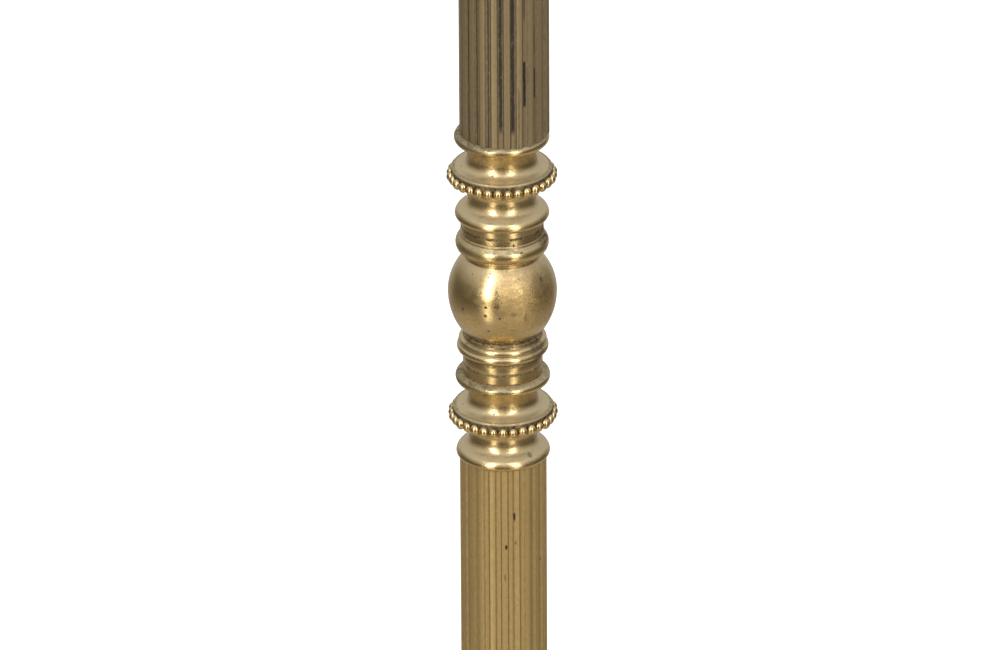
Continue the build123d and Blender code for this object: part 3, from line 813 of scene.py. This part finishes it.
@dataclass
class Coupling(Assembly):
    """Beaded coupling: ring, hollow neck, beaded disc, neck and bell."""

    node: str
    turn: float = 0.0
    seed: int = 1
    extra: tuple[GrimeAndShadeBand, ...] = ()
    marks: tuple[Mark, ...] = ()
    plug_foot: float = -31.5
    plug_top: float = 30.9
    plug_r: float = 17.3
    bore: float = 12.5
    beads: int = 32
    bead_r: float = 2.38
    bead_circle: float = 25.28
    bead_lift: float = -0.7
    bead_stray: float = 0.22
    bead_tall: float = 1.14
    true_within: float = 0.5
    top: float = 22.9
    bottom: float = -23.5

    def profile(self) -> Profile:
        """Section of the casting, heights from the ring of beads."""
        p = Profile(self.bore, self.plug_top)
        p.line((self.plug_r, self.plug_top), (self.plug_r, self.top), (21.7, self.top))
        p.bow((23.75, 20.6), (21.7, 17.5), 12).line((19.3, 17.2)).bow((17.9, 14.0), (17.2, 10.1), 10)
        p.bow((18.2, 7.0), (20.6, 5.0), 16).bow((22.5, 4.5), (24.7, 4.0), 6)
        p.line((24.75, 3.7), (25.1, 3.5), (25.1, 2.6))
        p.line((25.1, -2.6), (24.4, -3.2)).bow((18.3, -5.6), (16.7, -11.5), 14)
        p.bow((17.7, -14.7), (20.1, -17.0), 16).line((21.5, -18.2)).bow((23.1, -19.9), (23.6, -21.6), 9)
        p.bow((23.4, -22.4), (22.5, self.bottom), 6)
        return p.line((self.plug_r, self.bottom), (self.plug_r, self.plug_foot), (self.bore, self.plug_foot))

    def finish(self) -> CastBrass:
        """Cast brass with grime in this casting's hollows, and painted shade and painted dark reflections on
        its necks and under its ring and beaded disc.
        """
        # Of these bands, 16.0 to 17.6 is painted shade under the ring, 10.5 to 16.5 is painted shade that
        # dims the neck's warm reflection, 7.9 to 9.3 and -13.2 to -11.8 are painted dark reflection lines at
        # the feet of the two necks, and -5.4 to -3.0 is painted shade under the beaded disc; 3.0 to 4.15 is
        # pale old polish in the groove.
        bands = (GrimeAndShadeBand(3.0, 4.15, 0.80, 0.25, pale=True), GrimeAndShadeBand(16.0, 17.6, 0.7, 0.6),
                 GrimeAndShadeBand(7.9, 9.3, 0.40, 0.5), GrimeAndShadeBand(-13.2, -11.8, 0.45, 0.5),
                 GrimeAndShadeBand(-5.4, -3.0, 0.6, 0.8), GrimeAndShadeBand(10.5, 16.5, 0.36, 1.5))
        # Old grime and painted shade in the dark bed between the beads.
        grime_and_shade_between_beads = GrimeAndShadeBand(-2.9, 3.0, 0.96, 0.4)
        return CastBrass(f"cast_brass_{self.node}", bands=bands + self.extra, marks=self.marks,
                         inner=grime_and_shade_between_beads, inner_r=25.6)

    def build(self) -> None:
        """Model, dress and place the coupling."""
        low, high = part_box(self.node)
        axis = Vector(((low.x + high.x) / 2, 0, low.z - self.plug_foot * MM))
        if abs(axis.x) < self.true_within * MM:
            axis.x = 0.0  # the middle of a box taken over beads isn't exactly on the axis
        body = Bench.turned(self.node + "_turned", self.profile(), axis, 160, 0.08)
        row = axis + Vector((0, 0, self.bead_lift * MM))
        beads = Bench.bead_row(self.node + "_beads", self.bead_r, self.bead_circle, self.beads, row,
                               self.turn, self.bead_stray, self.seed, self.bead_tall)
        piece = Bench.joined(body, beads)
        self.place(piece, self.finish().make(axis.x, axis.z), "cast_brass", self.node)


@dataclass
class FlutedTube(Assembly):
    """Drawn brass tube with flat-bottomed flutes."""

    node: str
    radius: float
    finish: FlutedBrass
    depth: float = 0.9
    half_top: float = 4.25
    half_floor: float = 2.7
    wall: float = 2.2
    rings: int = 6

    def flute(self, axis: Vector, foot: float) -> list[Vector]:
        """Section of one flute and the land after it, with softened corners."""
        floor = self.radius - self.depth
        pitch = 360 / self.finish.flutes
        outline = [(floor, 0.0), (floor, self.half_floor * 0.6), (floor + 0.01, self.half_floor - 0.35),
                   (floor + 0.10, self.half_floor + 0.02), (self.radius - 0.16, self.half_top - 0.08),
                   (self.radius - 0.03, self.half_top + 0.2), (self.radius, self.half_top + 0.6)]
        second = [(r, pitch - a) for r, a in reversed(outline)]
        land = (self.radius, pitch / 2)
        places = [(r * MM, math.radians(self.finish.first_flute + a)) for r, a in (*outline, land, *second)]
        return [Vector((axis.x + r * math.sin(a), -r * math.cos(a), foot)) for r, a in places]

    def build(self) -> None:
        """Model, dress and place the tube."""
        low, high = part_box(self.node)
        axis = Vector(((low.x + high.x) / 2, 0, low.z))
        piece = Bench.chain(self.node + "_drawn", self.flute(axis, low.z))
        copies = self.finish.flutes - 1
        bpy.ops.mesh.spin(steps=copies, angle=math.tau * copies / self.finish.flutes, dupli=True,
                          center=(axis.x, 0, 0), axis=(0, 0, 1))
        bpy.ops.mesh.select_all(action="SELECT")
        bpy.ops.mesh.remove_doubles(threshold=Bench.WELD)
        for _ in range(self.rings):
            step = (high.z - low.z) / self.rings
            bpy.ops.mesh.extrude_region_move(TRANSFORM_OT_translate={"value": (0, 0, step)})
        Bench.close_seams()
        thick = piece.modifiers.new("wall", "SOLIDIFY")
        thick.thickness = self.wall * MM
        thick.offset = -1.0
        bpy.ops.object.modifier_apply(modifier=thick.name)
        Bench.smooth(piece)
        brass = self.finish.make(axis.x, knop_middle())
        self.place(piece, brass, self.node + "_brass", self.node)


@dataclass
class Knop(Assembly):
    """Hollow ball with a cup above, two rings below and a plain ferrule at each end."""

    node: str = "ball_knop"
    foot: float = KNOP_FOOT
    socket: float = 17.6
    ball: float = 27.3
    drop: float = 31.0
    neck_r: float = 19.0
    heel_r: float = 19.3
    lower_ferrule: float = 20.0
    upper_ferrule: float = 20.75

    def profile(self) -> Profile:
        """Section of the knop, heights from the middle of its ball."""
        neck = math.degrees(math.acos(self.neck_r / self.ball))
        heel = math.degrees(math.acos(self.heel_r / self.ball))
        p = Profile(self.socket, 36.4).line((self.upper_ferrule, 36.4), (self.upper_ferrule, 32.9))
        p.line((21.2, 32.5), (21.3, 31.9), (21.15, 31.3), (21.9, 30.5)).bow((23.35, 26.6), (21.4, 22.9), 16)
        p.line((self.neck_r, 21.5), (self.neck_r, self.ball * math.sin(math.radians(neck))))
        p.oval(self.ball, self.ball, 0, neck, 0, 26).oval(self.ball, self.drop, 0, 0, -heel, 26)
        p.line((self.heel_r, -22.4), (20.0, -22.8), (20.0, -24.4)).bow((22.1, -26.4), (21.6, -27.9), 10)
        p.line((21.8, -28.2)).bow((23.0, -30.2), (21.0, -32.6), 12)
        p.line((19.7, -33.6), (self.lower_ferrule, -34.4), (self.lower_ferrule, self.foot))
        p.line((self.socket, self.foot), (self.socket, -35.0), (16.0, -35.0), (16.0, -21.0))
        return p.bow((23.6, 0), (15.5, 18.0), 14).line((15.5, 32.0), (self.socket, 32.0))

    def finish(self) -> CastBrass:
        """Cast brass with this knop's hollows, pits and stains, painted shade under the ball and painted dark
        reflections at its sides.
        """
        # Of these bands, -23.1 to -19.0 is painted shade under the ball; the two from 20.0 to 21.4 at 34 to
        # 54 degrees either side are painted dark reflections at the sides; -33.0 to -24.5 and -26.5 to -23.5
        # darken the lower rings at the right and at the left.
        bands = (GrimeAndShadeBand(21.6, 22.5, 0.65, 0.3), GrimeAndShadeBand(29.7, 31.6, 0.75, 0.4, pale=True),
                 GrimeAndShadeBand(32.3, 33.1, 0.5, 0.3), GrimeAndShadeBand(24.5, 29.5, 0.35, 2.0, -85, -34),
                 GrimeAndShadeBand(35.9, 37.2, 0.98, 0.3), GrimeAndShadeBand(-23.1, -19.0, 0.92, 1.2),
                 GrimeAndShadeBand(-28.3, -27.7, 0.6, 0.3), GrimeAndShadeBand(-34.6, -33.3, 0.85, 0.4),
                 GrimeAndShadeBand(29.5, 37.5, 0.95, 1.2, 62, 86), GrimeAndShadeBand(-33.0, -24.5, 0.75, 1.4, 44, 62),
                 GrimeAndShadeBand(-26.5, -23.5, 0.6, 1.0, -60, -28), GrimeAndShadeBand(-46.5, -44.2, 0.85, 0.5),
                 GrimeAndShadeBand(-39.6, -38.3, 0.75, 0.4), GrimeAndShadeBand(20.0, 21.4, 0.8, 0.3, -54, -34),
                 GrimeAndShadeBand(20.0, 21.4, 0.75, 0.3, 34, 54))
        # Mark(-41.0, 8.0, ...) and Mark(47.0, 10.0, ...) are broad painted dark reflections on the sides of
        # the ball.
        marks = (Mark(15.7, 33.4, 20.8, 0.75, 0.85), Mark(25.0, 29.6, 22.4, 1.0, 0.6, 0.9),
                 Mark(-18.0, 2.3, 27.3, 0.95, 0.8), Mark(-18.5, -2.4, 27.3, 1.05, 0.95, 0.85),
                 Mark(-2.9, -3.4, 27.3, 0.8, 0.75), Mark(-46.7, -1.9, 27.3, 0.9, 0.9, 0.9),
                 Mark(-2.0, -0.6, 27.3, 3.2, 2.4, 0.40), Mark(-26.0, 4.5, 27.3, 3.8, 1.3, 0.55),
                 Mark(-16.0, -11.6, 26.0, 0.9, 0.7, 0.8), Mark(52.0, 12.5, 25.0, 1.3, 1.6, 0.75),
                 Mark(11.0, -10.8, 26.0, 1.4, 0.55, 0.5), Mark(-41.0, 8.0, 26.4, 2.8, 4.0, 0.55),
                 Mark(47.0, 10.0, 25.4, 5.4, 7.0, 0.42), Mark(25.0, -4.0, 27.3, 1.0, 2.6, 0.4),
                 Mark(12.0, -1.5, 27.3, 2.2, 1.4, 0.4))
        return CastBrass("cast_brass_ball_knop", bands=bands, marks=marks, pit_share=0.75, dull_side=0.36)

    def build(self) -> None:
        """Model, dress and place the knop and its two ferrules."""
        low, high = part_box(self.node)
        axis = Vector((0, 0, low.z - self.foot * MM))
        piece = Bench.turned("knop_turned", self.profile(), axis, 176, 0.06)
        material = self.finish().make(axis.x, axis.z)
        self.place(piece, material, "cast_brass", self.node)
        ferrules = {"knop_ferrule_lower": self.lower_ferrule, "knop_ferrule_upper": self.upper_ferrule}
        for node, radius in ferrules.items():
            low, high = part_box(node)
            bottom, top = (low.z - axis.z) / MM, (high.z - axis.z) / MM
            ring = Profile(self.socket, bottom).line((radius, bottom), (radius, top), (self.socket, top))
            self.place(Bench.turned(node + "_turned", ring, axis, 144), material, "cast_brass", node)


# ---------------------------------------------------------------- base
@dataclass
class Base(Assembly):
    """Spun dish on three ball feet, with a beaded wire round its rim and an iron weight inside."""

    dish: str = "base_dish"
    ring: str = "base_bead_ring"
    foot_height: float = 31.0
    foot_ball: float = 16.0
    foot_pad: float = 10.0
    foot_neck: float = 9.5
    foot_bore: float = 3.3
    beads: int = 120
    bead_r: float = 3.45
    rim: float = 163.02
    strip: float = 1.6
    strip_half: float = 3.6

    def dish_profile(self) -> Profile:
        """Section of the dish, heights from the floor."""
        p = Profile(17.6, 108).line((25, 108)).bow((27.4, 105.6), (25.8, 102.8), 10)
        p.bow((28.5, 96), (36, 93), 12)
        p.line((38, 93)).bow((41.2, 89.5), (38, 86), 12).bow((66, 72), (96, 66.5), 22).line((98, 64))
        p.bow((101.8, 60.6), (98, 57.2), 12).bow((121, 52.5), (146, 50), 14)
        p.bow((156.5, 47.4), (163, 40), 12)
        p.line((163, 31), (160, 31), (160, 39)).bow((154, 44.4), (145, 46.9), 8).line((95, 54), (94, 62.5))
        p.bow((64, 68), (36, 81), 14).line((35, 88.5)).bow((26, 92), (22, 101), 8)
        return p.line((22, 105), (17.6, 105))

    def foot_profile(self) -> Profile:
        """Section of one foot, heights from the floor."""
        ball, pad, neck = self.foot_ball, self.foot_pad, self.foot_neck
        middle = math.sqrt(ball**2 - pad**2)
        shoulder = middle + math.sqrt(ball**2 - neck**2)
        first, last = math.degrees(math.asin(-middle / ball)), math.degrees(math.acos(neck / ball))
        p = Profile(self.foot_bore, 9).line((6.5, 9), (6.5, 0), (pad, 0))
        p.oval(ball, ball, middle, first, last, 22)
        p.line((neck, shoulder + 0.6)).bow((neck + 2.2, shoulder + 1.1), (neck + 3.2, shoulder + 1.6), 5)
        p.line((20, shoulder + 1.6), (20, self.foot_height), (self.foot_bore, self.foot_height))
        return p

    def build(self) -> None:
        """Model, dress and place the base."""
        centre = Vector((0, 0, 0))
        brass = CastBrass("spun_brass_base", rough=0.22, pit_share=0.16, bands=(
            GrimeAndShadeBand(92.4, 94.0, 0.55, 0.7), GrimeAndShadeBand(85.4, 87.0, 0.6, 0.7),
            GrimeAndShadeBand(56.6, 58.2, 0.6, 0.6), GrimeAndShadeBand(65.2, 66.6, 0.3, 0.6),
            GrimeAndShadeBand(102.2, 103.4, 0.5, 0.5))).make()
        dish = Bench.turned("base_dish_spun", self.dish_profile(), centre, 192, 0.25)
        self.place(dish, brass, "polished_brass", self.dish)
        low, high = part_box(self.ring)
        middle = Vector((0, 0, (low.z + high.z) / 2))
        outer = self.rim + self.strip
        half = self.strip_half
        band = Profile(self.rim, -half).line((outer, -half), (outer, half), (self.rim, half))
        strip = Bench.turned("base_bead_strip", band, middle, 192, 0.2)
        beads = Bench.bead_row("base_beads", self.bead_r, outer, self.beads, middle, 0, 0.0, 3)
        wire = Bench.joined(strip, beads)
        wire_brass = CastBrass("cast_brass_rim", pit_share=0.1, bands=(
            GrimeAndShadeBand(-3.7, -2.6, 0.5, 0.4), GrimeAndShadeBand(2.6, 3.7, 0.5, 0.4)))
        self.place(wire, wire_brass.make(0, middle.z), "polished_brass", self.ring)
        for k in (1, 2, 3):
            node = f"foot_{k}"
            low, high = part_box(node)
            axis = Vector(((low.x + high.x) / 2, (low.y + high.y) / 2, low.z))
            foot = Bench.turned(node + "_turned", self.foot_profile(), Vector((0, 0, axis.z)), 72, 0.2)
            bpy.ops.transform.translate(value=(axis.x, axis.y, 0))
            bpy.ops.object.transform_apply(location=True, rotation=False, scale=False)
            self.place(foot, PolishedBrass(f"foot_brass_{k}").make(axis.x), "polished_brass", node)
        self.dress(CastIron("black_cast_iron").make(), "base_ballast")
        self.dress(Steel("plain_steel").make(), "foot_screws", "tie_rod", "tie_washers", "tie_nuts")


# ---------------------------------------------------------------- mast, clamp and head
@dataclass
class Mast(Assembly):
    """Sliding tube with its guide ring, clamped by a milled screw in a turned collar."""

    body: str = "mast"
    radius: float = 11.0
    bore: float = 8.5

    def build(self) -> None:
        """Model, dress and place the mast, and dress the rest of the clamp."""
        low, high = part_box("mast")
        axis = Vector(((low.x + high.x) / 2, 0, low.z))
        tall = (high.z - low.z) / MM
        tube = Profile(self.bore, 0).line((self.radius, 0), (self.radius, tall - 1))
        tube.bow((self.radius - 0.3, tall - 0.3), (self.radius - 1, tall), 4).line((self.bore, tall))
        brass = PolishedBrass("drawn_brass_mast", Grain.UPRIGHT, rough=0.25).make(axis.x)
        self.place(Bench.turned("mast_drawn", tube, axis, 96, 0.15), brass, "polished_brass", "mast")
        turned = PolishedBrass("turned_brass_clamp").make(axis.x)
        self.dress(turned, "mast_shoe", "mast_bush", "clamp_collar", "clamp_pad", "clamp_screw",
                   "head_yoke", "tilt_pin", "tilt_washer", "tilt_knob")


# ---------------------------------------------------------------- desk
@dataclass
class Desk(Assembly):
    """Pierced book desk with its shelf, lip, bracket and screws."""

    body: str = "desk"

    def build(self) -> None:
        """Dress the desk."""
        sheet = PolishedBrass("sheet_brass_desk", Grain.ALONG_X, rough=0.24)
        self.dress(sheet.make(), "desk_plate", "desk_shelf", "desk_lip")
        self.dress(PolishedBrass("cast_brass_bracket", Grain.ALONG_X, rough=0.3).make(), "desk_bracket")
        self.dress(PolishedBrass("screw_brass").make(), "desk_screws", "shelf_screws")


@dataclass
class Column(Assembly):
    """The fluted column, from the base coupling to the one that holds the clamp."""

    parts: list[Assembly] = field(default_factory=list)

    def lower_finish(self) -> FlutedBrass:
        """Finish of the lower tube: warm satin brass with a few dark pits."""
        marks = (Mark(14.4, -116.8, 21.8, 0.62, 2.9), Mark(3.3, -133.8, 21.8, 0.8, 1.6),
                 Mark(15.9, -131.6, 21.8, 0.5, 1.2, 0.6), Mark(1.7, -151, 21.0, 0.4, 2.4, 0.7),
                 Mark(60, -146, 21.8, 0.8, 1.0, 0.6))
        return FlutedBrass(
            "lower_tube_brass", metal=(0.675, 0.475, 0.196), streak=(0.44, 0.295, 0.113),
            edge=(0.21, 0.138, 0.053), black=(0.030, 0.026, 0.020), first_flute=9.57, edge_dark=0.42,
            floor_dark=0.10, left_darkening=0.06, shine=0.90, marks=marks)

    def upper_finish(self) -> FlutedBrass:
        """Finish of the upper tube: dull brown brass with black grime in the flutes to the left."""
        low, high = 86.0, 402.0
        black = (GrimeAndShadeBand(low, high, 0.80, 3, -39.7, -37.3), GrimeAndShadeBand(low, high, 0.78, 3, -22.8, -19.9),
                 GrimeAndShadeBand(98, high, 0.95, 4, -7.1, -2.7), GrimeAndShadeBand(98, high, 0.95, 5, 9.0, 13.6),
                 GrimeAndShadeBand(110, 133, 1.0, 1.5, 25.7, 29.7), GrimeAndShadeBand(113, 128, 0.95, 1.5, 42.6, 45.2),
                 GrimeAndShadeBand(158, 172, 0.6, 4, 25.9, 28.9), GrimeAndShadeBand(low, high, 0.75, 4, -56.0, -53.0),
                 GrimeAndShadeBand(138, 150, 0.5, 3, 42.6, 44.6), GrimeAndShadeBand(low, 115, 0.55, 8, 18.2, 19.6))
        return FlutedBrass(
            "upper_tube_brass", metal=(0.375, 0.275, 0.135), streak=(0.245, 0.176, 0.090),
            edge=(0.110, 0.080, 0.047), black=(0.022, 0.020, 0.019), first_flute=11.6, edge_dark=0.62,
            floor_dark=0.16, left_darkening=0.14, shine=0.80, black_flutes=black)

    def build(self) -> None:
        """Model, dress and place every piece of the column."""
        cup_left = GrimeAndShadeBand(17.0, 22.5, 0.6, 1.0, -90, -20)
        ledge = GrimeAndShadeBand(21.9, 23.4, 0.95, 0.4, pale=True)
        pit = (Mark(40.0, -17.5, 22.0, 1.6, 1.2, 0.6), Mark(37.0, -20.5, 23.4, 1.2, 0.8, 0.45))
        self.parts = [
            Coupling("base_coupling", 0.0, 11), Coupling("lower_coupling", 0.0, 12, (ledge, cup_left), pit),
            Coupling("upper_coupling", -4.4, 13, (cup_left, ledge)), Coupling("top_coupling", 0.0, 14),
            FlutedTube("lower_tube", 21.85, self.lower_finish()),
            FlutedTube("upper_tube", 22.4, self.upper_finish()),
            Knop()]
        for part in self.parts:
            part.build()


# ---------------------------------------------------------------- studio
@dataclass
class Studio:
    """Camera, two tall soft boxes, an even ceiling and a plain pale floor."""

    aim: Vector = field(default_factory=lambda: Vector((-0.00130, 0, 0.580)))
    pitch: float = 26.0
    distance: float = 6.0
    lens: float = 432.0
    roll: float = 0.3
    box_turn: float = 31.5
    box_away: float = 2.0
    box_wide: float = 0.50
    box_power: float = 36.0
    dull_box: float = 0.75
    box_span: tuple[float, float] = (0.60, 4.1)
    glow_power: float = 4.4
    glow_span: tuple[float, float] = (-1.2, 0.35)
    floor_size: float = 60.0
    floor_grey: float = 0.86
    floor_glow: float = 0.62
    back_wall: Colour = (0.85, 0.85, 0.84)
    back_amount: float = 0.52
    sky: tuple[tuple[float, float], ...] = (
        (0.0, 0.37), (0.09, 0.47), (0.19, 0.42), (0.26, 0.22), (0.36, 0.12),
        (0.52, 0.13), (0.60, 0.31), (0.75, 0.53), (0.93, 0.74), (1.0, 0.80))

    def camera(self) -> None:
        """Make the camera at its standing place."""
        data = bpy.data.cameras.new("camera")
        data.lens = self.lens
        data.clip_start, data.clip_end = 0.5, 200
        camera = bpy.data.objects.new("camera", data)
        down = math.radians(self.pitch)
        camera.location = self.aim + Vector((0, -math.cos(down), math.sin(down))) * self.distance
        camera.rotation_euler = (math.pi / 2 - down, 0, 0)
        camera.rotation_euler.rotate_axis("Z", math.radians(-self.roll))
        bpy.context.scene.collection.objects.link(camera)
        bpy.context.scene.camera = camera

    def soft_box(self, name: str, turn: float, power: float, low: float, high: float) -> None:
        """Make one upright soft box that faces the column.

        Args:
            name: name of the light.
            turn: its direction from the column, in degrees right of the front.
            power: its power in watts.
            low: height of its lower edge.
            high: height of its upper edge.
        """
        data = bpy.data.lights.new(name, "AREA")
        data.shape, data.size, data.size_y, data.energy = "RECTANGLE", self.box_wide, high - low, power
        light = bpy.data.objects.new(name, data)
        angle = math.radians(turn)
        light.location = (self.box_away * math.sin(angle), -self.box_away * math.cos(angle), (low + high) / 2)
        light.rotation_euler = (math.pi / 2, 0, angle)
        bpy.context.scene.collection.objects.link(light)

    def world(self) -> None:
        """Light the room: white to the camera, graded from floor to ceiling for the metal."""
        world = bpy.data.worlds.new("studio")
        bpy.context.scene.world = world
        world.use_nodes = True
        room = Recipe(world.node_tree)
        direction = room.node("ShaderNodeTexCoord", None, None, "Generated")
        up = room.node("ShaderNodeSeparateXYZ", None, {"Vector": direction}, 2)
        back = room.node("ShaderNodeSeparateXYZ", None, {"Vector": direction}, 1)
        shade = room.node("ShaderNodeValToRGB", {"stops": list(self.sky)}, {"Fac": up * 0.5 + 0.5})
        seen = room.node("ShaderNodeLightPath", None, None, "Is Camera Ray")
        behind = back.ramp(0.40, 0.95) * up.ramp(-0.75, -0.25) * self.back_amount
        colour = room.mix(seen, room.mix(behind, shade, self.back_wall), (1.0, 1.0, 1.0))
        light = room.node("ShaderNodeBackground", None, {"Color": colour, "Strength": 1.0})
        output = room.tree.nodes.new("ShaderNodeOutputWorld")
        room.tree.links.new(light.socket, output.inputs["Surface"])

    def floor(self) -> None:
        """Lay the floor, which the metal doesn't mirror."""
        Bench.clear()
        bpy.ops.mesh.primitive_plane_add(size=self.floor_size, location=(0, 0, 0))
        floor = bpy.context.object
        floor.name = "floor"
        paint = Recipe(self._new_material("pale_floor"))
        grey = (self.floor_grey,) * 3
        matt = paint.node("ShaderNodeBsdfDiffuse", None, {"Color": (*grey, 1)})
        glow = paint.node("ShaderNodeEmission", None, {"Color": (1, 1, 1, 1), "Strength": self.floor_glow})
        both = paint.node("ShaderNodeAddShader", None, {0: matt, 1: glow})
        output = paint.tree.nodes.new("ShaderNodeOutputMaterial")
        paint.tree.links.new(both.socket, output.inputs["Surface"])
        floor.data.materials.append(bpy.data.materials["pale_floor"])
        floor.visible_glossy = False
        floor.visible_shadow = False

    @staticmethod
    def _new_material(name: str) -> bpy.types.NodeTree:
        """Make a material and return its tree."""
        material = bpy.data.materials.new(name)
        material.use_nodes = True
        return material.node_tree

    def build(self) -> None:
        """Set up the studio."""
        bpy.context.scene.view_settings.view_transform = "Standard"
        self.camera()
        for side, turn in (("left", -self.box_turn), ("right", self.box_turn)):
            power = self.box_power * (1.0 if side == "left" else self.dull_box)
            self.soft_box(f"soft_box_{side}", turn, power, *self.box_span)
            self.soft_box(f"floor_glow_{side}", turn, self.glow_power, *self.glow_span)
        self.world()
        self.floor()


def main() -> None:
    """Build the stand's looks in order."""
    logging.basicConfig(level=logging.INFO, format="%(name)s: %(message)s")
    Studio().build()
    Base().build()
    Column().build()
    Mast().build()
    Desk().build()
    Bench.clear()


if __name__ == "__main__":
    main()
